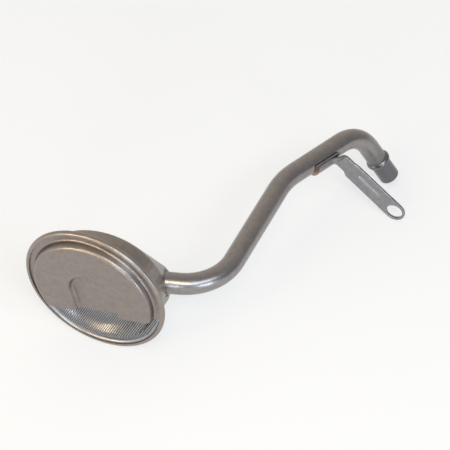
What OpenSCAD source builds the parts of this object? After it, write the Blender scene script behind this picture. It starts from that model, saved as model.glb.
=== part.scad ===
// Oil pickup tube: a screened inlet bell, a bent suction tube with a press-in stub, and a bolt-on bracket.
// It is drawn with the bell's axis along +Z and the screen facing -Z, then laid down as it comes to rest.

/* [Bell] */
// Outer radius of the rolled rim
rim_r = 54.6; // [52:0.1:60]
// Radius of the roll at the rim
rim_roll = 2.2; // [1.9:0.1:3]
// Width of the lip that folds over the plate's flange
rim_lip = 0.8; // [0.6:0.1:1.4]
// Sheet thickness of the bell
bell_wall = 1.2; // [0.8:0.1:1.6]
// Radius of the drum where it meets the flange
drum_r = 46.8; // [44:0.1:47.5]
// Radius of the flat part of the roof
roof_r = 41.6; // [38:0.1:42]
// Rounding between the roof and the drum
roof_round = 4; // [3:0.1:6]
// Height of the middle of the roof's rounding above the rim
roof_z = 12.9; // [10:0.1:16]
// Slope of the roof towards the tube, in degrees
roof_slope = 8.5; // [4:0.5:11]
// Radius of the boss that takes the tube
boss_r = 12.4; // [12.3:0.1:13]
// Rounding at the end of the boss
boss_round = 2.6; // [2:0.1:2.7]
// Extra width of the boss on one side of the tube
boss_spread = 4; // [0:0.1:5]
// Slope of the boss's end from square to the rim, in degrees
boss_rise = 12; // [8:0.5:18]
// Turn of the boss's end about the bell's axis, in degrees
boss_turn = -20; // [-24:0.5:0]

/* [Screen] */
// Thickness of the formed mesh
mesh_t = 0.7; // [0.5:0.1:0.9]
// Height of the mesh ring in front of its flange
mesh_rise = 5.8; // [5:0.1:6]
// Radius of the dished middle of the mesh
mesh_dish_r = 27.5; // [26.5:0.1:29]
// Depth of the dish below the ring
mesh_dish = 4.6; // [4:0.1:5]
// Rounding along the top of the mesh ring
mesh_round = 4; // [3:0.1:4.5]
// Gap between the mesh's outer wall and the plate's
mesh_clear = 0.5; // [0.3:0.05:0.8]
// Width of mesh from the cut to the middle of the first openings
mesh_land = 3; // [2:0.1:4]
// Distance between two mesh openings
mesh_pitch = 3.8; // [3.6:0.1:5]
// Width of one mesh opening
mesh_gap = 2.2; // [1.6:0.1:2.6]

/* [Cover plate] */
// Sheet thickness of the plate
plate_t = 1; // [0.8:0.1:1.1]
// Height of the raised ring in front of the plate's flange
plate_rise = 6.2; // [5.9:0.1:6.8]
// Width of flat flange between the rim's lip and the foot of the raised ring
foot_gap = 4.6; // [4:0.1:5]
// Rounding at the foot of the ring's wall
foot_round = 1.5; // [1:0.1:2]
// Slope of the ring's wall from upright, in degrees
plate_draft = 14; // [8:0.5:18]
// Rounding along the top of the ring's wall
plate_round = 1.8; // [1.4:0.1:2.2]
// Half width of the pocket in the middle of the plate
pocket_r = 17; // [15:0.1:18]
// Depth of the pocket
pocket_depth = 4.2; // [3.5:0.1:4.6]
// Rounding along the edge of the pocket
pocket_round = 1.6; // [1.2:0.1:2]
// Distance from the bell's axis to the straight cut
cut_dist = 17.7; // [12:0.1:22]
// Direction of the cut seen along the bell's axis, in degrees
cut_turn = 71.5; // [60:0.5:90]

/* [Tube] */
// Outside diameter of the tube
tube_d = 15.9; // [14:0.1:16.4]
// Wall of the tube
tube_wall = 1.25; // [0.9:0.05:2]
// Distance from the bell's axis to the end of the boss
entry_x = 40; // [38:0.1:42]
// Height of the tube's axis there, above the rim
entry_z = 29.9; // [29:0.1:32]
// Rise of the tube as it leaves the boss, in degrees
entry_rise = 22; // [18:0.5:28]
// Length of tube inside the boss
entry_in = 6; // [4:0.1:12]
// Straight run from the boss to the first bend
run_1 = 9.5; // [7:0.1:20]
// Radius of the first bend
bend_r1 = 42; // [32:0.5:50]
// Straight run of the riser
run_2 = 78.8; // [60:0.1:110]
// Radius of the second bend
bend_r2 = 60; // [30:0.5:90]
// Angle of the second bend, in degrees
lean = 21.9; // [15:0.1:28]
// Straight run that carries the bracket
run_3 = 50.8; // [46:0.1:70]
// Radius of the third bend
bend_r3 = 28.7; // [22:0.1:40]
// Angle of the third bend, in degrees
stub_bend = 66; // [60:0.5:80]
// Plane of the third bend, turned about the tube, in degrees
stub_turn = 63.2; // [45:0.1:65]
// Straight run from the third bend to the bead
run_4 = 16.7; // [8:0.1:20]
// Thinning of the wall at each face of a bend
bend_thin = 0.05; // [0.03:0.01:0.1]

/* [Stub] */
// Length of the press-in stub past the bead's middle
stub_len = 20.8; // [14:0.1:28]
// Height of the bead above the tube
bead_h = 1.7; // [1:0.1:2]
// Radius of the bead's section
bead_r = 3; // [2.4:0.1:3.6]
// Chamfer at the stub's end
stub_chamfer = 0.6; // [0.3:0.05:0.8]

/* [Bracket] */
// Sheet thickness of the bracket
strap_t = 2.4; // [2:0.1:3]
// Width of the bracket's arm
strap_w = 17; // [15:0.1:22]
// Width of the neck at the bend
neck_w = 14.6; // [13:0.1:15]
// Offset of the neck to one side of the arm's middle line
neck_shift = -1.2; // [-1.8:0.1:0]
// Distance from the start of the straight run to the saddle
saddle_at = 16; // [8:0.1:20]
// Length of the saddle
saddle_len = 22.4; // [16:0.1:23]
// Half angle of tube that the saddle covers, in degrees
saddle_half = 50; // [42:1:70]
// Length of flat strap between the saddle and the bend
leg_len = 5; // [4:0.1:6]
// Distance along the straight run to the level of the arm
arm_at = 38.8; // [38.5:0.1:44]
// Inside radius of the bend
fold_r = 3.5; // [2.5:0.1:5]
// Direction of the arm seen along the bell's axis, in degrees
arm_turn = 31.7; // [20:0.1:40]
// Distance from the tube's axis to the bolt hole
hole_dist = 70.5; // [60:0.1:85]
// Diameter of the bolt hole
hole_d = 13; // [10:0.1:14]
// Distance from the tube's axis to the shoulders of the arm
shoulder_dist = 25; // [23:0.1:28]
// Length of the step from the neck to the full width of the arm
shoulder_len = 4; // [3:0.1:6]
// Length of the stiffening rib
rib_len = 19; // [10:0.1:24]
// Distance from the tube's axis to the rib
rib_dist = 32; // [30:0.1:34]
// Height of the rib
rib_h = 1.3; // [0.6:0.1:1.6]
// Radius of the rib's section
rib_r = 3.4; // [2.8:0.1:4]

/* [Braze] */
// Radius of the bead round the tube at the boss
braze_w = 1.1; // [0.9:0.1:1.3]
// Height of the middle of that bead above the boss
braze_up = 0.6; // [0.5:0.1:0.8]
// Overhang of the braze past the saddle
braze_out = 1.4; // [0.8:0.1:2]

/* [Fit] */
// Gap between the bead at the boss and the wall of the recess round it
recess_gap = 0.5; // [0.3:0.05:0.8]
// Gap between two pieces that seat on each other
seat = 0.03; // [0.02:0.01:0.1]
// Thickness of braze between the tube and the saddle
braze_gap = 0.2; // [0.15:0.01:0.3]

/* [Rest] */
// Tilt of the bell's axis from level as the part lies, in degrees
rest_tilt = -2.38; // [-6:0.01:4]
// Roll of the part about the bell's axis as it lies, in degrees
rest_roll = 6.67; // [0:0.01:12]
// Move that brings the middle of its box to the origin, along X
rest_x = -51.72; // [-70:0.01:-40]
// Move that brings the middle of its box to the origin, along Y
rest_y = -125.44; // [-140:0.01:-100]

/* [Hidden] */
$fn = 96;
steel = [0.52, 0.51, 0.50];
tube_r = tube_d / 2;
bore_r = tube_r - tube_wall;
eps = 0.01;
lap = 0.5;
far = 200;

// The rim holds the plate and the screen between its back wall and its lip.
roll_r = rim_r - rim_roll;
lip_r = roll_r - rim_lip;
rim_slot = plate_t + mesh_t + 2 * seat;
lip_t = (2 * rim_roll - rim_slot) / 2;
slot_front = -rim_slot / 2;
slot_back = rim_slot / 2;
plate_back = slot_front + plate_t + seat / 2;
mesh_back = slot_back - seat / 2;
sheet_edge_r = roll_r - seat;

// The plate's raised ring stands inside the lip, and the mesh follows it.
plate_foot_r = lip_r - foot_gap;

// Section of the mesh: a steep outer wall, a rounded ring and a dished middle.
mesh_foot_r = plate_foot_r - plate_t / cos(plate_draft) - mesh_clear;
mesh_top_r = mesh_foot_r - mesh_rise * tan(plate_draft);
mesh_crest_r = mesh_top_r - mesh_round;
mesh_steps = 14;
function smooth(t) = (1 - cos(180 * t)) / 2;
function mesh_z(r) = r <= mesh_dish_r ? mesh_rise - mesh_dish
    : mesh_rise - mesh_dish * (1 - smooth((r - mesh_dish_r) / (mesh_crest_r - mesh_dish_r)));
mesh_side = [for (i = [0 : mesh_steps]) let (r = mesh_dish_r + (mesh_crest_r - mesh_dish_r) * i / mesh_steps)
    [r, mesh_z(r)]];
mesh_crest = [for (a = [75 : -15 : 0])
    [mesh_crest_r + mesh_round * cos(a), mesh_rise - mesh_round + mesh_round * sin(a)]];

// The tube enters the boss aslant, in a recess that takes the bead of braze.
boss_cos = cos(boss_rise) * cos(boss_turn) * cos(entry_rise) + sin(boss_rise) * sin(entry_rise);
ring_r = tube_r / boss_cos + seat;
recess_r = ring_r + braze_w + recess_gap;

// Frames along the tube, each with the tube's heading along +Z.
arm_lean = atan(tan(lean) * cos(arm_turn));
saddle_roll = atan2(cos(arm_lean) * sin(arm_turn),
    cos(arm_lean) * cos(arm_turn) * cos(lean) + sin(arm_lean) * sin(lean));
leg_off = 0.1;
leg_over = 0.02;
strap_mid = tube_r + braze_gap + strap_t / 2 + leg_off;
fold_mid = fold_r + strap_t / 2;
fold_x = (strap_mid + fold_mid * (1 - sin(arm_lean))) / cos(arm_lean);

// The part lies on its rim, so the rim's lowest point gives the height of the bell's axis.
rest_turn = [-90 - rest_tilt, rest_roll, 0];
rest_move = [rest_x, rest_y, roll_r * sqrt(1 - pow(sin(rest_tilt) * cos(rest_roll), 2)) + rim_roll];

module at_entry() {
    translate([entry_x, 0, entry_z]) rotate([0, 90 - entry_rise, 0]) children();
}
module at_boss() {
    translate([entry_x, 0, entry_z]) rotate([0, 90 - boss_rise, boss_turn]) children();
}
module past_bend(r, a) {
    translate([r, 0, 0]) rotate([0, a, 0]) translate([-r, 0, 0]) children();
}
module at_riser() {
    at_entry() translate([0, 0, run_1]) rotate(180) past_bend(bend_r1, 90 - entry_rise) children();
}
module at_run_3() {
    at_riser() translate([0, 0, run_2]) rotate(180) past_bend(bend_r2, lean) children();
}
module at_stub_bend() {
    at_run_3() translate([0, 0, run_3]) rotate(stub_turn) children();
}
module at_stub() {
    at_stub_bend() past_bend(bend_r3, stub_bend) children();
}
module lay_down() {
    translate(rest_move) rotate(rest_turn) children();
}

// Straight and bent lengths of tube, starting at the origin along +Z.
module tube_ring(thin) {
    difference() {
        circle(r = tube_r - thin);
        circle(r = bore_r + thin);
    }
}
module straight(len) {
    translate([0, 0, -lap]) linear_extrude(len + 2 * lap) tube_ring(0);
}
module bent(r, a) {
    translate([r, 0, 0]) rotate([90, 0, 180]) rotate_extrude(angle = a) translate([r, 0]) tube_ring(bend_thin);
}

// Outer form of the bell, or its inner form when grow is negative.
module bell_form(grow) {
    hull() {
        translate([0, 0, slot_back - eps]) cylinder(r = drum_r + grow, h = lip_t, $fn = 64);
        translate([0, 0, roof_z]) rotate([0, -roof_slope, 0])
            rotate_extrude($fn = 64) translate([roof_r, 0]) circle(r = roof_round + grow, $fn = 24);
        at_boss() translate([0, 0, grow]) {
            for (y = [0, boss_spread]) translate([0, y, -boss_round])
                rotate_extrude($fn = 48) translate([boss_r - boss_round, 0])
                    circle(r = boss_round + grow, $fn = 24);
        }
    }
}

module housing() {
    color(steel) lay_down() difference() {
        union() {
            bell_form(0);
            rotate_extrude() {
                difference() {
                    union() {
                        translate([roll_r, 0]) circle(r = rim_roll);
                        translate([drum_r - bell_wall, slot_back]) square([roll_r - drum_r + bell_wall, lip_t]);
                    }
                    translate([0, slot_front]) square([roll_r, rim_slot]);
                    translate([0, -far]) square([lip_r, far]);
                }
            }
        }
        difference() {
            bell_form(-bell_wall);
            at_boss() translate([0, 0, -bell_wall]) cylinder(r = recess_r + bell_wall, h = far);
        }
        at_boss() cylinder(r = recess_r, h = far);
        translate([0, 0, -rim_roll]) cylinder(r = drum_r - bell_wall, h = 2 * rim_roll);
        at_entry() translate([0, 0, -far / 4]) cylinder(r = tube_r + seat, h = far / 2);
    }
}

// Section of the formed mesh, with its front towards +Y.
module mesh_section(t) {
    front = concat([[0, mesh_rise - mesh_dish]], mesh_side, mesh_crest, [[mesh_foot_r, 0], [sheet_edge_r, 0]]);
    back = concat([[sheet_edge_r, -t], [mesh_foot_r - t, -t]],
        [for (i = [len(mesh_crest) - 1 : -1 : 0]) mesh_crest[i] - [t * 0.8, t * 0.8]],
        [for (i = [len(mesh_side) - 1 : -1 : 0]) mesh_side[i] - [0, t]], [[0, mesh_rise - mesh_dish - t]]);
    polygon(concat(front, back));
}
module screen() {
    reach = mesh_crest_r;
    count = floor(reach / mesh_pitch);
    color([0.58, 0.54, 0.47]) lay_down() translate([0, 0, mesh_back - mesh_t]) mirror([0, 0, 1]) difference() {
        rotate_extrude() mesh_section(mesh_t);
        rotate(cut_turn) for (i = [0 : count], j = [-count : count]) {
            x = cut_dist + mesh_land + mesh_pitch * i;
            y = mesh_pitch * j;
            if (norm([x, y]) + mesh_gap < reach)
                translate([x - mesh_gap / 2, y - mesh_gap / 2, -far / 2]) cube([mesh_gap, mesh_gap, far]);
        }
    }
}

// Solid under the raised ring of the plate, drawn in by inset.
module ring_section(inset) {
    foot = plate_foot_r - inset / cos(plate_draft);
    top = plate_rise - inset;
    round_r = plate_round - inset / 2;
    mid_z = top - round_r;
    mid_r = foot - mid_z * tan(plate_draft) - round_r / cos(plate_draft);
    polygon([[0, -plate_t], [foot + plate_t * tan(plate_draft), -plate_t],
        [mid_r + round_r * cos(plate_draft), mid_z + round_r * sin(plate_draft)], [mid_r, top], [0, top]]);
    translate([mid_r, mid_z]) circle(r = round_r);
}
// Hollow rounding between the plate's flange and the ring's wall.
module foot_section() {
    mid_r = plate_foot_r + foot_round * (1 - sin(plate_draft)) / cos(plate_draft);
    wall_r = mid_r - foot_round * cos(plate_draft);
    wall_z = foot_round * (1 - sin(plate_draft));
    difference() {
        polygon([[plate_foot_r - plate_t / 2, -plate_t / 2], [mid_r, -plate_t / 2], [mid_r, 0],
            [wall_r, wall_z], [wall_r - plate_t / 2, wall_z]]);
        translate([mid_r, foot_round]) circle(r = foot_round);
    }
}
// Section of the pocket's cutter, widened and deepened by grow.
module pocket_section(grow) {
    half = pocket_r + grow;
    flare = pocket_round;
    base = plate_rise - pocket_depth - grow;
    difference() {
        translate([0, base]) square([half + flare, far]);
        translate([half + flare, base - far + plate_rise - base - flare]) square([far, far]);
        translate([half, base - eps]) square([flare + eps, plate_rise - flare - base + eps]);
        translate([half + flare, plate_rise - flare]) circle(r = flare);
    }
}
module pocket(grow) {
    rotate_extrude() pocket_section(grow);
    rotate([90, 0, 90]) linear_extrude(far) {
        pocket_section(grow);
        mirror([1, 0]) pocket_section(grow);
    }
}
module cover_plate() {
    color(steel) lay_down() translate([0, 0, plate_back - plate_t]) mirror([0, 0, 1]) rotate(cut_turn)
    difference() {
        union() {
            translate([0, 0, -plate_t]) cylinder(r = sheet_edge_r, h = plate_t);
            rotate_extrude() foot_section();
            difference() {
                rotate_extrude() ring_section(0);
                pocket(0);
            }
        }
        difference() {
            rotate_extrude() ring_section(plate_t);
            pocket(plate_t);
        }
        translate([cut_dist, -far, -far]) cube(2 * far);
    }
}

module pickup_tube() {
    color(steel) lay_down() {
        at_entry() translate([0, 0, lap - entry_in]) straight(entry_in + run_1 - lap);
        at_entry() translate([0, 0, run_1]) rotate(180) bent(bend_r1, 90 - entry_rise);
        at_riser() straight(run_2);
        at_riser() translate([0, 0, run_2]) rotate(180) bent(bend_r2, lean);
        at_run_3() straight(run_3);
        at_stub_bend() bent(bend_r3, stub_bend);
        at_stub() rotate_extrude() difference() {
            union() {
                translate([bore_r, -lap]) square([tube_wall, run_4 + stub_len - stub_chamfer + lap]);
                translate([bore_r, -lap]) square([tube_wall - stub_chamfer, run_4 + stub_len + lap]);
                translate([tube_r - stub_chamfer, run_4 + stub_len - stub_chamfer])
                    polygon([[0, 0], [stub_chamfer, 0], [0, stub_chamfer]]);
                translate([tube_r + bead_h - bead_r, run_4]) circle(r = bead_r);
            }
            translate([-far, -far / 2]) square([far + bore_r, far]);
        }
    }
}

// A piece of sheet rolled round the tube, centred on +X, from the origin along +Z.
module wrap(inner, outer, half, len) {
    rotate(-half) rotate_extrude(angle = 2 * half) translate([inner, 0]) square([outer - inner, len]);
}
// Frame of the flat arm: origin on the tube's axis, +X along the arm, +Z along the bell's axis.
module at_arm() {
    at_run_3() translate([0, 0, arm_at]) rotate([0, -lean, 0]) rotate(arm_turn) children();
}
// Outline of the flat arm, from the bend to the round tip.
module arm_outline() {
    side = [neck_shift - neck_w / 2, neck_shift + neck_w / 2];
    polygon([[fold_x, side[0]], [shoulder_dist - shoulder_len, side[0]], [shoulder_dist, -strap_w / 2],
        [hole_dist, -strap_w / 2], [hole_dist, strap_w / 2], [shoulder_dist, strap_w / 2],
        [shoulder_dist - shoulder_len, side[1]], [fold_x, side[1]]]);
    translate([hole_dist, 0]) circle(d = strap_w);
}
// Rounded bar that raises the rib on one face and hollows the other.
module rib_bar() {
    translate([rib_dist, 0, rib_r - strap_t / 2 - rib_h]) rotate([0, 90, 0]) rotate_extrude() difference() {
        union() {
            square([rib_r, rib_len]);
            circle(r = rib_r);
            translate([0, rib_len]) circle(r = rib_r);
        }
        translate([-far, -far / 2]) square([far, far]);
    }
}
module bracket() {
    color([0.55, 0.55, 0.57]) lay_down() {
        at_run_3() rotate(saddle_roll) translate([0, 0, saddle_at])
            wrap(tube_r + braze_gap, tube_r + braze_gap + strap_t, saddle_half, saddle_len);
        at_arm() {
            translate([fold_x, neck_shift, -fold_mid]) rotate([90, 0, 0]) rotate([0, 0, 90])
                translate([0, 0, -neck_w / 2]) rotate_extrude(angle = 90 - arm_lean)
                    translate([fold_r, 0]) square([strap_t, neck_w]);
            translate([fold_x, neck_shift, -fold_mid]) rotate([0, arm_lean, 0])
                translate([-fold_mid - strap_t / 2 - leg_over, -neck_w / 2 - leg_over, -leg_len])
                    cube([strap_t + 2 * leg_over, neck_w + 2 * leg_over, leg_len + lap / 2]);
            difference() {
                union() {
                    translate([0, 0, -strap_t / 2]) linear_extrude(strap_t) arm_outline();
                    intersection() {
                        rib_bar();
                        translate([0, -far / 2, -far]) cube([far, far, far]);
                    }
                }
                translate([0, 0, strap_t]) rib_bar();
                translate([hole_dist, 0, -far / 2]) cylinder(d = hole_d, h = far);
            }
        }
    }
}

module housing_braze() {
    color([0.60, 0.45, 0.33]) lay_down() difference() {
        at_boss() translate([0, 0, seat]) rotate_extrude() difference() {
            union() {
                translate([ring_r, braze_up]) circle(r = braze_w);
                translate([bore_r - braze_w, 0]) square([ring_r - bore_r + braze_w, braze_up + braze_w]);
            }
            translate([0, -far]) square(far);
        }
        at_entry() translate([0, 0, -far / 4]) cylinder(r = tube_r + seat, h = far / 2);
    }
}

module bracket_braze() {
    out = asin(braze_out / tube_r);
    color([0.66, 0.44, 0.33]) lay_down() at_run_3() rotate(saddle_roll) difference() {
        translate([0, 0, saddle_at - braze_out])
            wrap(tube_r + seat, tube_r + braze_gap + strap_t / 2, saddle_half + out, saddle_len + braze_out);
        translate([0, 0, saddle_at - seat])
            wrap(tube_r + braze_gap - seat, tube_r + far, saddle_half + seat * 8, far);
    }
}

housing();
screen();
cover_plate();
pickup_tube();
bracket();
housing_braze();
bracket_braze();
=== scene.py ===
"""Looks of the oil pickup tube: satin steel, copper-coloured braze and a woven wire screen."""
import math

import bmesh
import bpy
import numpy as np
from mathutils import Matrix, Vector


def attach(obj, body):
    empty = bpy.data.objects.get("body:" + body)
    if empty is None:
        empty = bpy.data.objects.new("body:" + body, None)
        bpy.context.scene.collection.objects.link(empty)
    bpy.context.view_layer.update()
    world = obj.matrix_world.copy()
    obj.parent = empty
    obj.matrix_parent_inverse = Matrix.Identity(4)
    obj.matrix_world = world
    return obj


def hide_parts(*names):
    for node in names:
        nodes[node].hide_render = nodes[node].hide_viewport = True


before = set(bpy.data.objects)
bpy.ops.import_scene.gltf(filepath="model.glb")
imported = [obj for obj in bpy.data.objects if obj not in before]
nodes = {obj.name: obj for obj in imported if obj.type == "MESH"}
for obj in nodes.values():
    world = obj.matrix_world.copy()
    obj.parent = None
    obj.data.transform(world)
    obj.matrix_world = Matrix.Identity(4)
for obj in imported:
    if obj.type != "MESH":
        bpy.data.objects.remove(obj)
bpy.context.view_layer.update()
scene = bpy.context.scene
MM = 0.001

# How the bell lies, in degrees and millimetres: in its own frame its axis is +Z and its screen faces -Z.
REST_TILT = -2.38
REST_ROLL = 6.67
BELL_AT = Vector((-51.72, -125.44, 54.555))

# Straight cut of the plate: distance from the axis, direction, and how far the weave runs in under it.
CUT_DIST = 17.7
CUT_TURN = math.radians(71.5)
TUCK = 3.0

# Formed screen, in millimetres: heights stand on the front of its flange, at MESH_FACE in the bell's frame.
MESH_FACE = 0.165
MESH_T = 0.7
MESH_RISE = 5.8
MESH_DISH = 4.6
MESH_MIDDLE_R = 2.0
MESH_DISH_R = 30.5
MESH_CREST = 4.0
MESH_TOP_R = 44.02
MESH_FOOT_R = 45.47
MESH_EDGE_R = 52.3
HEM_R = 49.8
CREST_TURNS = np.radians([20, 40, 55, 70, 82])
DISH_EDGE = 1.0
SHEET_ROWS = 12
SHEET_STEPS = 180

# Rolled-in edge between the screen and the rim: (radius, height) points of its section, and its run.
HEM = [(49.4, 0.0), (50.0, 0.08), (50.6, 0.37), (51.1, 0.85),
       (51.4, 1.33), (51.52, 1.63), (51.56, 0.5), (51.5, -0.05)]
HEM_FROM_CUT = 0.4
HEM_FADE = 4.0
HEM_STEPS = 121

# The weave: flattened wires one way, thinner ones across them. Sections are (across, up) points.
WOVEN_R = 50.2
WEAVE_TURN = math.radians(38)
WIRE_PITCH = 1.4
WIRE_STEPS = 4
SHORTEST_WIRE = 8
STEEPEST = 4.0
FLAT_WIRE = [(0.44, 0), (0.4, 0.14), (0.33, 0.2), (-0.33, 0.2),
             (-0.4, 0.14), (-0.44, 0), (-0.3, -0.2), (0.3, -0.2)]
FLAT_LIFT = 0.03
THIN_WIRE = [(0.2, 0), (0.1, 0.17), (-0.1, 0.17), (-0.2, 0), (-0.1, -0.17), (0.1, -0.17)]
THIN_LIFT = 0.05
THIN_DROP = 0.1

# Cover plate, in millimetres: heights stand on the front of its flange, at PLATE_FACE in the bell's frame.
PLATE_FACE = -0.865
PLATE_T = 1.0
PLATE_RISE = 6.2
PLATE_MIDDLE_R = 0.5
PLATE_FOOT_R = 47.0
PLATE_EDGE_R = 52.3
PLATE_DRAFT = math.radians(14)
SHOULDER_ROUND = 3.2
FOOT_ROUND = 1.7
POCKET_R = 17.0
POCKET_DEPTH = 4.2
POCKET_SOFT = 1.3
FACE_ROWS = 72
SHOULDER_ROWS = 13
FOOT_ROWS = 9
FLANGE_ROWS = 5
PLATE_STEPS = 256

# The bracket's strap: frames of its arm and of the tube under its saddle, and sizes, in millimetres.
ARM_AT = np.array([42.532, 83.959, 52.295])
ARM_X = np.array([0.78407, 0.02182, -0.62029])
ARM_Y = np.array([-0.62065, 0.03533, -0.78329])
ARM_Z = np.array([0.00482, 0.99914, 0.04125])
SADDLE_AT = np.array([33.983, 62.823, 52.411])
AHEAD = np.array([0.37494, 0.92704, -0.00505])
OUT = np.array([0.74032, -0.30269, -0.60026])
SIDE = np.array([-0.55799, 0.22132, -0.79979])
SADDLE_R = 9.35
SADDLE_HALF = math.radians(50)
SADDLE_RUN_OUT = 8.0
LEG_R = 9.45
FOLD_R = 5.6
STRAP_T = 2.4
STRAP_EDGE = 0.8
STRAP_HALF = 8.5
NECK_HALF = 6.95
NECK_SHIFT = -0.75
NECK_X = 20.0
SHOULDER_X = 24.5
RIB_FROM = 31.0
RIB_TO = 52.0
RIB_H = 1.5
RIB_REACH = 3.4
EYE_X = 70.5
EYE_R = 6.5
EYE_BACK = 10.0
STRAP_STEPS = 110
EYE_STEPS = 96
ACROSS_POINTS = 23
CORNER_POINTS = 4

# Rounding of the eye's two edges, as shares of STRAP_EDGE.
HOLE_EDGE = 0.5
TIP_EDGE = 0.9

# The strap's fold, worked out from the sizes above: its angles and place, and the length at which arm X is 0.
LEAN = math.atan2(ARM_X @ AHEAD, ARM_Z @ AHEAD)
FOLD = math.pi / 2 - LEAN
FOLD_X = (LEG_R + FOLD_R * (1 - math.sin(LEAN))) / math.cos(LEAN)
FOLD_FOOT = ARM_AT + (FOLD_X - FOLD_R * math.sin(FOLD)) * ARM_X + FOLD_R * (math.cos(FOLD) - 1) * ARM_Z
FOLD_START = (FOLD_FOOT - SADDLE_AT) @ AHEAD
ARM_START = FOLD_START + FOLD_R * FOLD - FOLD_X

# Step in millimetres over which slopes are measured, and the angles past which an edge is shaded sharp.
SLOPE_STEP = 0.05
SHARP = math.radians(50)
WIRE_SHARP = math.radians(30)

# Places of the saddle's braze-stained end and of the stub's middle, in metres; the stub's is the centre of
# its painted shade.
SADDLE_END = (0.0385, 0.061, 0.046)
STUB_AT = (0.0745, 0.1244, 0.0118)

# Base colours of the metals; the thin wires' and the stub's are darkened as painted shade.
WIRE_TONE = (0.36, 0.36, 0.372)
# Painted shade: the thin wires are the same steel as the flat ones, darkened to stand for the shade they lie
# in, deeper than the flat wires.
THIN_WIRE_PAINTED_SHADE = (0.08, 0.08, 0.086)
PLATE_TONE = (0.285, 0.25, 0.233)
BELL_TONE = (0.31, 0.275, 0.25)
TUBE_TONE = (0.30, 0.28, 0.275)
# Painted shade: the stub and its bead are darkened to stand for the darker surroundings that they reflect.
STUB_PAINTED_SHADE = (0.165, 0.163, 0.175)
STRAP_TONE = (0.29, 0.285, 0.295)
STAIN_TONE = (0.36, 0.275, 0.245)
SEAM_TONE = (0.24, 0.215, 0.20)
DULL_BRAZE = [(0.3, (0.17, 0.155, 0.145)), (0.7, (0.22, 0.195, 0.18))]
COPPER = (0.40, 0.25, 0.19)

# Fineness of the drawn lines along X, Y and Z, per metre.
SHEET_GRAIN = (60, 900, 900)
TUBE_GRAIN = (500, 60, 500)
STRAP_GRAIN = (60, 700, 700)
SEAM_GRAIN = (700, 700, 700)
WIRE_GRAIN = (300, 300, 300)

# How far a steel's mottle goes, as shares of its tone, and how far its lines change its roughness.
MOTTLE_DARK = 0.9
MOTTLE_LIGHT = 1.08
LINES_GLOSS = 0.07
LINES_DULL = 0.09

# Sockets of a colour mix node.
MIX_SHARE, MIX_A, MIX_B, MIX_RESULT = 0, 6, 7, 2

# Camera, from a fit of the part's outline, in degrees, metres and, for lens and sensor, millimetres.
CAMERA_AZIMUTH = 23.778
CAMERA_ELEVATION = 43.930
CAMERA_ROLL = -0.70
CAMERA_DISTANCE = 1.327
CAMERA_TARGET = Vector((0.0004, -0.0184, 0.045))
LENS = 144
SENSOR = 36

# Direction of the room's light side, and its tones from the dark side to the light one, as (place, colour).
ROOM_SIDE = Vector((-0.81, 0.59, 0.0))
ROOM_TONES = [(0.2, (0.27, 0.275, 0.29)), (0.52, (0.52, 0.50, 0.475)), (0.9, (0.78, 0.72, 0.64))]

# Floor: its size in metres, its tones, and the share and tint of the white that it gives by itself.
FLOOR_SIZE = 12
FLOOR_TONES = [(0.3, (0.34, 0.34, 0.34)), (0.7, (0.35, 0.35, 0.35))]
FLOOR_GLOW = 0.61
FLOOR_TINT = (0.955, 0.98, 1.0, 1)

# Disc lamps, all aimed at one point: (name, place in metres, size in metres, power in watts, colour).
LAMP_AIM = Vector((0, -0.03, 0.04))
LAMPS = [
    ("over_camera", (0.55, -1.25, 1.75), 0.8, 13, (1.0, 0.82, 0.58)),
    ("front_cool", (1.1, -1.05, 1.38), 0.6, 7, (0.80, 0.90, 1.0)),
    ("side_cool", (1.4, -0.45, 1.4), 0.6, 5, (0.80, 0.90, 1.0)),
    ("left_high", (-0.56, -1.42, 1.41), 0.6, 3.5, (1.0, 0.72, 0.42)),
    ("front_left", (-0.62, -1.78, 0.91), 0.5, 6, (1.0, 0.84, 0.62)),
    ("front_low", (0.5, -1.75, 0.48), 0.55, 7, (0.78, 0.89, 1.0)),
    ("left_low", (-1.15, -1.6, 0.32), 0.55, 9, (1.0, 0.80, 0.56)),
    ("right_cool", (1.75, -0.95, 0.36), 0.6, 9, (0.74, 0.86, 1.0)),
]


def ease(t):
    """Smooth step from 0 to 1."""
    t = np.clip(t, 0, 1)
    return t * t * (3 - 2 * t)


def unit(vectors):
    """Vectors of the last axis, brought to length 1."""
    return vectors / np.linalg.norm(vectors, axis=-1, keepdims=True)


def loft(loops, closed):
    """Points and faces through a row of equal loops, joined end to end or capped."""
    size = len(loops[0])
    faces = []
    for k in range(len(loops) if closed else len(loops) - 1):
        m = (k + 1) % len(loops)
        for j in range(size):
            n = (j + 1) % size
            faces.append((k * size + j, k * size + n, m * size + n, m * size + j))
    if not closed:
        last = (len(loops) - 1) * size
        faces.append(tuple(range(size - 1, -1, -1)))
        faces.append(tuple(range(last, last + size)))
    return np.concatenate(loops), faces


def join(parts):
    """Points and faces of several parts as one."""
    points, faces, start = [], [], 0
    for part_points, part_faces in parts:
        points.append(part_points)
        faces += [tuple(v + start for v in face) for face in part_faces]
        start += len(part_points)
    return np.concatenate(points), faces


def add_mesh(name, points, faces):
    """Smooth-shaded object of the given points and faces."""
    mesh = bpy.data.meshes.new(name)
    mesh.from_pydata([tuple(p) for p in points], [], [tuple(f) for f in faces])
    mesh.validate()
    mesh.update()
    mesh.polygons.foreach_set("use_smooth", [True] * len(mesh.polygons))
    obj = bpy.data.objects.new(name, mesh)
    scene.collection.objects.link(obj)
    return obj


def bell_matrix():
    """Place of the bell's own frame, in metres, for points in millimetres."""
    roll = Matrix.Rotation(math.radians(REST_ROLL), 4, "Y")
    tilt = Matrix.Rotation(math.radians(-90 - REST_TILT), 4, "X")
    return Matrix.Scale(MM, 4) @ Matrix.Translation(BELL_AT) @ (roll @ tilt)


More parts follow.
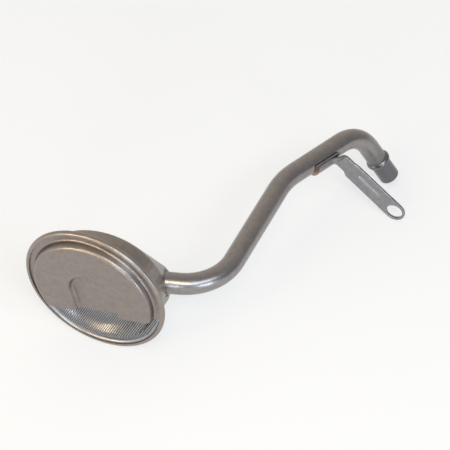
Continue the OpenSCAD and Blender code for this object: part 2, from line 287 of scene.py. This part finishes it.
def in_bell(points, face):
    """Places points that stand on a sheet's front face, with X across the cut, into the part, in metres."""
    c, s = math.cos(CUT_TURN), math.sin(CUT_TURN)
    x = points[:, 0] * c - points[:, 1] * s
    y = points[:, 0] * s + points[:, 1] * c
    z = face - points[:, 2]
    placed = np.stack([x, y, z, np.ones_like(x)], axis=1) @ np.array(bell_matrix()).T
    return placed[:, :3]


def mesh_height(r):
    """Front of the formed screen above its flange, in millimetres, at radius r."""
    crest_r = MESH_TOP_R - MESH_CREST
    t = np.clip((r - MESH_DISH_R) / (crest_r - MESH_DISH_R), 0, 1)
    inner = MESH_RISE - MESH_DISH * (1 - (1 - np.cos(np.pi * t)) / 2)
    arc = MESH_RISE - MESH_CREST + np.sqrt(np.maximum(MESH_CREST ** 2 - (r - crest_r) ** 2, 0))
    wall = (MESH_RISE - MESH_CREST) * np.clip((MESH_FOOT_R - r) / (MESH_FOOT_R - MESH_TOP_R), 0, 1)
    return np.where(r < crest_r, inner, np.where(r < MESH_TOP_R, arc, wall))


def screen_normal(x, y):
    """Unit normal of the formed screen at (x, y), pointing to its front."""
    r = np.hypot(x, y)
    slope = (mesh_height(r + SLOPE_STEP) - mesh_height(r - SLOPE_STEP)) / (2 * SLOPE_STEP)
    slope = np.clip(slope, -STEEPEST, STEEPEST)
    return unit(np.stack([-slope * x / r, -slope * y / r, np.ones_like(r)], axis=1))


def wire_line(turn, i, lift, drop):
    """Centre points of wire i and the normal at each, in the screen's frame, or None for a short stub."""
    ahead = np.array([math.cos(turn), math.sin(turn)])
    aside = np.array([-ahead[1], ahead[0]]) * i * WIRE_PITCH
    reach = math.sqrt(WOVEN_R ** 2 - (i * WIRE_PITCH) ** 2)
    step = WIRE_PITCH / WIRE_STEPS
    run = np.arange(math.ceil(-reach / step), math.floor(reach / step) + 1) * step
    flat = aside + run[:, None] * ahead
    kept = flat[:, 0] > CUT_DIST - TUCK
    if kept.sum() < SHORTEST_WIRE:
        return None
    x, y = flat[kept].T
    wave = lift * (-1) ** i * np.cos(np.pi * run[kept] / WIRE_PITCH) - drop
    normal = screen_normal(x, y)
    base = np.stack([x, y, mesh_height(np.hypot(x, y)) - MESH_T / 2], axis=1)
    return base + normal * wave[:, None], normal


def bar_along(points, normals, section):
    """Points and faces of a capped bar of the given section along a polyline."""
    ahead = unit(np.gradient(points, axis=0))
    side = unit(np.cross(ahead, normals))
    up = np.cross(side, ahead)
    across, height = np.array(section).T
    return loft(points[:, None] + across[:, None] * side[:, None] + height[:, None] * up[:, None], False)


def weave(turn, section, lift, drop):
    """Bars of all the wires that run one way."""
    count = int(WOVEN_R / WIRE_PITCH)
    lines = [wire_line(turn, i, lift, drop) for i in range(-count, count + 1)]
    return [bar_along(*line, section) for line in lines if line]


def screen_sheet():
    """The formed sheet where the plate or the rim hides the weave, as front and back skins with edges."""
    crest_r = MESH_TOP_R - MESH_CREST
    radii = np.concatenate([
        np.linspace(MESH_MIDDLE_R, MESH_DISH_R, SHEET_ROWS),
        np.linspace(MESH_DISH_R + DISH_EDGE, crest_r, SHEET_ROWS),
        crest_r + MESH_CREST * np.sin(CREST_TURNS),
        [MESH_FOOT_R, HEM_R, MESH_EDGE_R],
    ])
    count = SHEET_STEPS
    turn = np.arange(count) * 2 * np.pi / count
    x = radii[:, None] * np.cos(turn)
    y = radii[:, None] * np.sin(turn)
    z = np.repeat(mesh_height(radii)[:, None], count, axis=1)
    front = np.stack([x, y, z], axis=2).reshape(-1, 3)
    back = front - np.array([0, 0, MESH_T])
    middle = (radii[:-1, None] + radii[1:, None]) / 2
    kept = (middle * np.cos(turn + np.pi / count) < CUT_DIST - TUCK / 2) | (middle > HEM_R)
    faces = []
    top = len(front)
    for k, s in zip(*np.nonzero(kept)):
        n = (s + 1) % count
        a, b, c, d = k * count + s, k * count + n, (k + 1) * count + n, (k + 1) * count + s
        faces.append((a, d, c, b))
        faces.append((top + a, top + b, top + c, top + d))
        if k == 0 or not kept[k - 1, s]:
            faces.append((a, b, top + b, top + a))
        if k == len(kept) - 1 or not kept[k + 1, s]:
            faces.append((d, top + d, top + c, c))
        if not kept[k, n]:
            faces.append((b, c, top + c, top + b))
        if not kept[k, s - 1]:
            faces.append((a, top + a, top + d, d))
    return np.concatenate([front, back]), faces


def hem_loops():
    """Sections of the rolled-in edge, where no plate lies in front of the screen."""
    r, h = np.array(HEM).T
    reach = math.acos((CUT_DIST + HEM_FROM_CUT) / r.max())
    loops = []
    for a in np.linspace(-reach, reach, HEM_STEPS):
        rise = ease((r.max() * math.cos(a) - CUT_DIST) / HEM_FADE)
        loops.append(np.stack([r * math.cos(a), r * math.sin(a), h * rise], axis=1))
    return loops


def build_screen():
    """The woven wire screen, in place in the bell, with its thin wires painted darker as shade, since they
    lie deeper than the flat ones.
    """
    flat = weave(WEAVE_TURN, FLAT_WIRE, FLAT_LIFT, 0)
    thin = weave(WEAVE_TURN + math.pi / 2, THIN_WIRE, -THIN_LIFT, THIN_DROP)
    points, faces = join(flat + thin + [screen_sheet(), loft(hem_loops(), False)])
    obj = add_mesh("wire_screen", in_bell(points, MESH_FACE), [face[::-1] for face in faces])
    obj.data.set_sharp_from_angle(angle=WIRE_SHARP)
    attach(obj, "root")
    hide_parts("screen")
    dress(obj, satin_steel("wire_steel", WIRE_TONE, rough=0.34, grain=WIRE_GRAIN, lines_bump=0))
    # Painted shade: the thin wires get this darker material in place of their own steel colour.
    shade = satin_steel("wire_painted_shade", THIN_WIRE_PAINTED_SHADE, rough=0.45, grain=WIRE_GRAIN, lines_bump=0)
    obj.data.materials.append(shade)
    first = sum(len(bar_faces) for _, bar_faces in flat)
    last = first + sum(len(bar_faces) for _, bar_faces in thin)
    for face in obj.data.polygons[first:last]:
        face.material_index = 1


def plate_profile():
    """Radius and height along the front of the plate, from near its middle to its edge."""
    lean = math.tan(PLATE_DRAFT)
    top_z = PLATE_RISE - SHOULDER_ROUND
    top_r = PLATE_FOOT_R - top_z * lean - SHOULDER_ROUND / math.cos(PLATE_DRAFT)
    foot_r = PLATE_FOOT_R + FOOT_ROUND * (1 - math.sin(PLATE_DRAFT)) / math.cos(PLATE_DRAFT)
    rows = [(r, PLATE_RISE) for r in np.linspace(PLATE_MIDDLE_R, top_r, FACE_ROWS)]
    for a in np.linspace(math.pi / 2, PLATE_DRAFT, SHOULDER_ROWS)[1:]:
        rows.append((top_r + SHOULDER_ROUND * math.cos(a), top_z + SHOULDER_ROUND * math.sin(a)))
    for a in np.linspace(PLATE_DRAFT, math.pi / 2, FOOT_ROWS):
        rows.append((foot_r - FOOT_ROUND * math.cos(a), FOOT_ROUND * (1 - math.sin(a))))
    rows += [(r, 0.0) for r in np.linspace(foot_r, PLATE_EDGE_R, FLANGE_ROWS)[1:]]
    return np.array(rows)


def pocket_drop(x, y):
    """How far the pocket and its channel sink the front of the plate at (x, y)."""
    inside = POCKET_R - np.where(x < 0, np.hypot(x, y), np.abs(y))
    return POCKET_DEPTH * ease((inside + POCKET_SOFT) / (2 * POCKET_SOFT))


def plate_disc():
    """Points and faces of the whole plate, before it is cut, with X across the cut."""
    rows = plate_profile()
    count = PLATE_STEPS
    turn = np.arange(count) * 2 * np.pi / count
    x = rows[:, :1] * np.cos(turn)
    y = rows[:, :1] * np.sin(turn)
    z = rows[:, 1:] - pocket_drop(x, y) * (rows[:, 1:] == PLATE_RISE)
    front = np.stack([x, y, z], axis=2)
    around = np.roll(front, -1, axis=1) - np.roll(front, 1, axis=1)
    outward = np.gradient(front, axis=0)
    back = front - unit(np.cross(outward, around)) * PLATE_T
    last = len(rows) - 1
    top = len(rows) * count
    faces = []
    for s in range(count):
        n = (s + 1) % count
        for k in range(last):
            a, b, c, d = k * count + s, k * count + n, (k + 1) * count + n, (k + 1) * count + s
            faces.append((a, d, c, b))
            faces.append((top + a, top + b, top + c, top + d))
        edge_s, edge_n = last * count + s, last * count + n
        faces.append((edge_s, top + edge_s, top + edge_n, edge_n))
    faces.append(tuple(range(count)))
    faces.append(tuple(range(top + count - 1, top - 1, -1)))
    return np.concatenate([front.reshape(-1, 3), back.reshape(-1, 3)]), faces


def build_plate():
    """The stamped plate with soft edges, cut off along its chord."""
    obj = add_mesh("soft_plate", *plate_disc())
    cut = bmesh.new()
    cut.from_mesh(obj.data)
    whole = cut.verts[:] + cut.edges[:] + cut.faces[:]
    made = bmesh.ops.bisect_plane(
        cut, geom=whole, plane_co=(CUT_DIST, 0, 0), plane_no=(1, 0, 0), clear_outer=True
    )
    edges = [e for e in made["geom_cut"] if isinstance(e, bmesh.types.BMEdge)]
    bmesh.ops.edgeloop_fill(cut, edges=edges)
    flat = np.array([v.co for v in cut.verts])
    for vert, co in zip(cut.verts, in_bell(flat, PLATE_FACE)):
        vert.co = co
    bmesh.ops.recalc_face_normals(cut, faces=cut.faces[:])
    cut.to_mesh(obj.data)
    cut.free()
    obj.data.set_sharp_from_angle(angle=SHARP)
    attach(obj, "root")
    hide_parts("cover_plate")
    return obj


def strap_side(x):
    """Offset and half width of the flat arm at distance x from the tube's axis."""
    t = ease((x - NECK_X) / (SHOULDER_X - NECK_X))
    return NECK_SHIFT * (1 - t), NECK_HALF + (STRAP_HALF - NECK_HALF) * t


def rib_height(x, y):
    """Height of the arm's rib at (x, y)."""
    away = np.hypot(x - np.clip(x, RIB_FROM, RIB_TO), y)
    return RIB_H * ease(1 - away / RIB_REACH)


def arm_point(x, y, z):
    """Points of the arm's frame, in the part's millimetres."""
    return ARM_AT + x[:, None] * ARM_X + y[:, None] * ARM_Y + z[:, None] * ARM_Z


def strap_middle(u, share):
    """Middle of the strap's sheet at length u from the saddle's end, and share of its half width across."""
    down = np.minimum(u - FOLD_START, 0)
    turn = FOLD * (1 - np.clip((u - FOLD_START) / (FOLD_R * FOLD), 0, 1))
    out = np.maximum(u - FOLD_START - FOLD_R * FOLD, 0)
    x = FOLD_X - FOLD_R * np.sin(turn) + out + down * (ARM_X @ AHEAD)
    z = FOLD_R * (np.cos(turn) - 1) + down * (ARM_Z @ AHEAD)
    shift, half = strap_side(x)
    y = shift + half * share
    flat = arm_point(x, y + down * (ARM_Y @ AHEAD), z - rib_height(x, y))
    around = SADDLE_HALF * share
    radial = np.cos(around)[:, None] * OUT + np.sin(around)[:, None] * SIDE
    bent = SADDLE_AT + u[:, None] * AHEAD + SADDLE_R * radial
    w = ease((u - FOLD_START + SADDLE_RUN_OUT) / SADDLE_RUN_OUT)[:, None]
    return bent * (1 - w) + flat * w


def sheet_section(half, inner=1.0, outer=1.0):
    """Closed section of a sheet with rounded edges: (share of half width, height) points."""
    edge = STRAP_EDGE / half
    corner = [(math.cos(a), math.sin(a)) for a in np.linspace(math.pi / 2, 0, CORNER_POINTS)]
    rise = STRAP_T / 2
    front = [(v, rise) for v in np.linspace(-1 + edge * inner, 1 - edge * outer, ACROSS_POINTS)]
    right = [(1 - edge * outer * (1 - c), rise - STRAP_EDGE * outer * (1 - h)) for c, h in corner[1:]]
    left = [(-1 + edge * inner * (1 - c), rise - STRAP_EDGE * inner * (1 - h)) for c, h in corner[1:]]
    half_loop = left[::-1] + front + right
    return np.array(half_loop + [(v, -h) for v, h in half_loop[::-1]])


def strap_loops():
    """Sections of the strap from the saddle's end to where its eye begins."""
    loops = []
    for u in np.linspace(0, ARM_START + EYE_X - EYE_BACK, STRAP_STEPS):
        half = strap_side(u - ARM_START)[1]
        share, height = sheet_section(half).T
        along = np.full_like(share, u)
        aside_step = SLOPE_STEP / half
        ahead = strap_middle(along + SLOPE_STEP, share) - strap_middle(along - SLOPE_STEP, share)
        aside = strap_middle(along, share + aside_step) - strap_middle(along, share - aside_step)
        loops.append(strap_middle(along, share) + height[:, None] * unit(np.cross(aside, ahead)))
    return loops


def eye_loops():
    """Sections round the bolt hole at the tip, out to the strap's outline."""
    loops = []
    for a in (np.arange(EYE_STEPS) + 0.5) * 2 * math.pi / EYE_STEPS:
        c, s = math.cos(a), math.sin(a)
        side = STRAP_HALF if c >= 0 else STRAP_HALF / abs(s)
        back = math.inf if c >= 0 else EYE_BACK / -c
        reach = min(side, back)
        half = (reach - EYE_R) / 2
        share, height = sheet_section(half, HOLE_EDGE, 0.0 if back < side else TIP_EDGE).T
        r = (EYE_R + reach) / 2 + half * share
        loops.append(arm_point(EYE_X + r * c, r * s, -height))
    return loops


def build_bracket():
    """The stamped strap: saddle, fold and ribbed arm run into each other, with an eye at the tip."""
    points, faces = join([loft(strap_loops(), False), loft(eye_loops(), True)])
    obj = add_mesh("soft_bracket", points * MM, faces)
    made = bmesh.new()
    made.from_mesh(obj.data)
    bmesh.ops.recalc_face_normals(made, faces=made.faces[:])
    made.to_mesh(obj.data)
    made.free()
    obj.data.set_sharp_from_angle(angle=SHARP)
    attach(obj, "root")
    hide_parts("bracket")
    return obj


class Shader:
    """A material's node tree, built one node at a time."""

    def __init__(self, name):
        self.material = bpy.data.materials.new(name)
        self.material.use_nodes = True
        self.tree = self.material.node_tree
        self.bsdf = self.tree.nodes["Principled BSDF"]
        self.coords = self.tree.nodes.new("ShaderNodeTexCoord").outputs["Object"]

    def node(self, kind, **values):
        """New node, with values for its inputs or its own settings."""
        made = self.tree.nodes.new(kind)
        for key, value in values.items():
            if key in made.inputs:
                made.inputs[key].default_value = value
            else:
                setattr(made, key, value)
        return made

    def link(self, a, b):
        self.tree.links.new(a, b)

    def stretched(self, scale):
        """Object coordinates, scaled along each axis."""
        mapping = self.node("ShaderNodeMapping", Scale=scale)
        self.link(self.coords, mapping.inputs["Vector"])
        return mapping.outputs["Vector"]

    def noise(self, vector, scale, detail, roughness=0.55):
        made = self.node("ShaderNodeTexNoise", Scale=scale, Detail=detail, Roughness=roughness)
        self.link(vector, made.inputs["Vector"])
        return made.outputs["Fac"]

    def ramp(self, fac, stops):
        """Colours at the stops, as (place, colour), run into each other."""
        made = self.node("ShaderNodeValToRGB")
        set_stops(made.color_ramp, stops)
        self.link(fac, made.inputs["Fac"])
        return made.outputs["Color"]

    def patch(self, colour, centre, inner, outer, tone):
        """Runs the colour into another tone round a point."""
        far = self.node("ShaderNodeVectorMath", operation="DISTANCE")
        far.inputs[1].default_value = centre
        self.link(self.coords, far.inputs[0])
        near = self.node("ShaderNodeMapRange")
        for key, value in (("From Min", inner), ("From Max", outer), ("To Min", 1.0), ("To Max", 0.0)):
            near.inputs[key].default_value = value
        self.link(far.outputs["Value"], near.inputs["Value"])
        mix = self.node("ShaderNodeMix", data_type="RGBA")
        mix.inputs[MIX_B].default_value = (*tone, 1)
        self.link(near.outputs["Result"], mix.inputs[MIX_SHARE])
        self.link(colour, mix.inputs[MIX_A])
        return mix.outputs[MIX_RESULT]

    def span(self, fac, low, high):
        """Brings a value of 0 to 1 into the span from low to high."""
        made = self.node("ShaderNodeMapRange")
        made.inputs["To Min"].default_value = low
        made.inputs["To Max"].default_value = high
        self.link(fac, made.inputs["Value"])
        return made.outputs["Result"]

    def bump(self, height, strength, distance):
        made = self.node("ShaderNodeBump", Strength=strength, Distance=distance)
        self.link(height, made.inputs["Height"])
        self.link(made.outputs["Normal"], self.bsdf.inputs["Normal"])


def set_stops(ramp, stops):
    """Sets a colour ramp to the stops, given as (place, colour)."""
    while len(ramp.elements) < len(stops):
        ramp.elements.new(0.5)
    for element, (at, colour) in zip(ramp.elements, stops):
        element.position = at
        element.color = (*colour, 1)


def satin_steel(name, tone, rough, grain, lines_bump=0.1, patch=None):
    """Bare steel with fine drawn lines, a faint mottle and slightly uneven gloss."""
    s = Shader(name)
    cloud = s.noise(s.coords, scale=260, detail=5)
    dark = tuple(v * MOTTLE_DARK for v in tone)
    light = tuple(v * MOTTLE_LIGHT for v in tone)
    colour = s.ramp(cloud, [(0.3, dark), (0.5, tone), (0.7, light)])
    if patch:
        colour = s.patch(colour, **patch)
    s.link(colour, s.bsdf.inputs["Base Color"])
    s.bsdf.inputs["Metallic"].default_value = 1.0
    lines = s.noise(s.stretched(grain), scale=1.0, detail=5, roughness=0.65)
    s.link(s.span(lines, low=rough - LINES_GLOSS, high=rough + LINES_DULL), s.bsdf.inputs["Roughness"])
    if lines_bump:
        s.bump(lines, strength=lines_bump, distance=0.0001)
    return s.material


def braze_metal():
    """Copper-coloured braze, dull and unevenly stained by the heat."""
    s = Shader("braze")
    cloud = s.noise(s.coords, scale=240, detail=4)
    dull = s.ramp(cloud, DULL_BRAZE)
    colour = s.patch(dull, SADDLE_END, inner=0.004, outer=0.012, tone=COPPER)
    s.link(colour, s.bsdf.inputs["Base Color"])
    s.bsdf.inputs["Metallic"].default_value = 1.0
    s.link(s.span(cloud, low=0.36, high=0.52), s.bsdf.inputs["Roughness"])
    s.bump(cloud, strength=0.3, distance=0.0002)
    return s.material


def pale_floor():
    """Pale matt floor that stays near white to the camera and in the metal, and takes the part's shadow."""
    s = Shader("pale_floor")
    cloud = s.noise(s.coords, scale=3, detail=3)
    s.link(s.ramp(cloud, FLOOR_TONES), s.bsdf.inputs["Base Color"])
    s.bsdf.inputs["Roughness"].default_value = 0.9
    s.bsdf.inputs["Specular IOR Level"].default_value = 0.1
    s.bsdf.inputs["Emission Color"].default_value = FLOOR_TINT
    path = s.node("ShaderNodeLightPath")
    seen = path.outputs["Is Camera Ray"]
    for ray in ("Is Glossy Ray", "Is Transmission Ray"):
        either = s.node("ShaderNodeMath", operation="MAXIMUM")
        s.link(seen, either.inputs[0])
        s.link(path.outputs[ray], either.inputs[1])
        seen = either.outputs[0]
    s.link(s.span(seen, low=0.0, high=FLOOR_GLOW), s.bsdf.inputs["Emission Strength"])
    s.material.cycles.emission_sampling = "NONE"
    return s.material


def dress(obj, material):
    """Gives the object one material in place of what it had."""
    obj.data.materials.clear()
    obj.data.materials.append(material)


def add_floor():
    """The floor that the part lies on."""
    bpy.ops.mesh.primitive_plane_add(size=FLOOR_SIZE, location=(0, 0, 0))
    floor = bpy.context.object
    floor.name = "floor"
    dress(floor, pale_floor())


def add_lamp(name, place, size, power, colour):
    """One disc lamp, turned to the point that all lamps aim at."""
    data = bpy.data.lights.new(name, "AREA")
    data.shape = "DISK"
    data.size = size
    data.energy = power
    data.color = colour
    obj = bpy.data.objects.new(name, data)
    obj.location = place
    obj.rotation_mode = "QUATERNION"
    obj.rotation_quaternion = (LAMP_AIM - Vector(place)).to_track_quat("-Z", "Y")
    scene.collection.objects.link(obj)


def room():
    """Plain room round the part: light and warm behind its left side, darker and cooler to its right."""
    world = bpy.data.worlds.new("room")
    world.use_nodes = True
    tree = world.node_tree
    coords = tree.nodes.new("ShaderNodeTexCoord")
    dot = tree.nodes.new("ShaderNodeVectorMath")
    dot.operation = "DOT_PRODUCT"
    dot.inputs[1].default_value = ROOM_SIDE
    tree.links.new(coords.outputs["Generated"], dot.inputs[0])
    span = tree.nodes.new("ShaderNodeMapRange")
    span.inputs["From Min"].default_value = -1.0
    tree.links.new(dot.outputs["Value"], span.inputs["Value"])
    ramp = tree.nodes.new("ShaderNodeValToRGB")
    set_stops(ramp.color_ramp, ROOM_TONES)
    tree.links.new(span.outputs["Result"], ramp.inputs["Fac"])
    tree.links.new(ramp.outputs["Color"], tree.nodes["Background"].inputs["Color"])
    return world


def add_camera():
    """Camera at the photograph's viewing angle."""
    data = bpy.data.cameras.new("camera")
    data.lens = LENS
    data.sensor_width = SENSOR
    camera = bpy.data.objects.new("camera", data)
    a, e = math.radians(CAMERA_AZIMUTH), math.radians(CAMERA_ELEVATION)
    back = Vector((math.sin(a) * math.cos(e), -math.cos(a) * math.cos(e), math.sin(e)))
    camera.location = CAMERA_TARGET + back * CAMERA_DISTANCE
    camera.rotation_mode = "QUATERNION"
    roll = Matrix.Rotation(math.radians(-CAMERA_ROLL), 3, "Z").to_quaternion()
    camera.rotation_quaternion = (-back).to_track_quat("-Z", "Y") @ roll
    scene.collection.objects.link(camera)
    scene.camera = camera


def set_stage():
    """Floor, lamps, room and camera."""
    add_floor()
    for lamp in LAMPS:
        add_lamp(*lamp)
    scene.world = room()
    add_camera()
    scene.view_settings.view_transform = "Standard"


def dress_part():
    """Builds the pieces that stand in for solids, and gives every piece its metal."""
    build_screen()
    plate = build_plate()
    dress(plate, satin_steel("plate_steel", PLATE_TONE, rough=0.36, grain=SHEET_GRAIN, lines_bump=0.05))
    dress(nodes["housing"], satin_steel("bell_steel", BELL_TONE, rough=0.36, grain=SHEET_GRAIN))
    tube = nodes["pickup_tube"]
    # Painted shade: the tube is darkened round its stub for the darker surroundings it reflects.
    stub = {"centre": STUB_AT, "inner": 0.012, "outer": 0.034, "tone": STUB_PAINTED_SHADE}
    dress(tube, satin_steel("tube_steel", TUBE_TONE, rough=0.30, grain=TUBE_GRAIN, patch=stub))
    strap = build_bracket()
    stain = {"centre": SADDLE_END, "inner": 0.004, "outer": 0.010, "tone": STAIN_TONE}
    dress(strap, satin_steel("bracket_steel", STRAP_TONE, rough=0.36, grain=STRAP_GRAIN, patch=stain))
    dress(nodes["housing_braze"], satin_steel("braze_steel", SEAM_TONE, rough=0.40, grain=SEAM_GRAIN))
    dress(nodes["bracket_braze"], braze_metal())


set_stage()
dress_part()
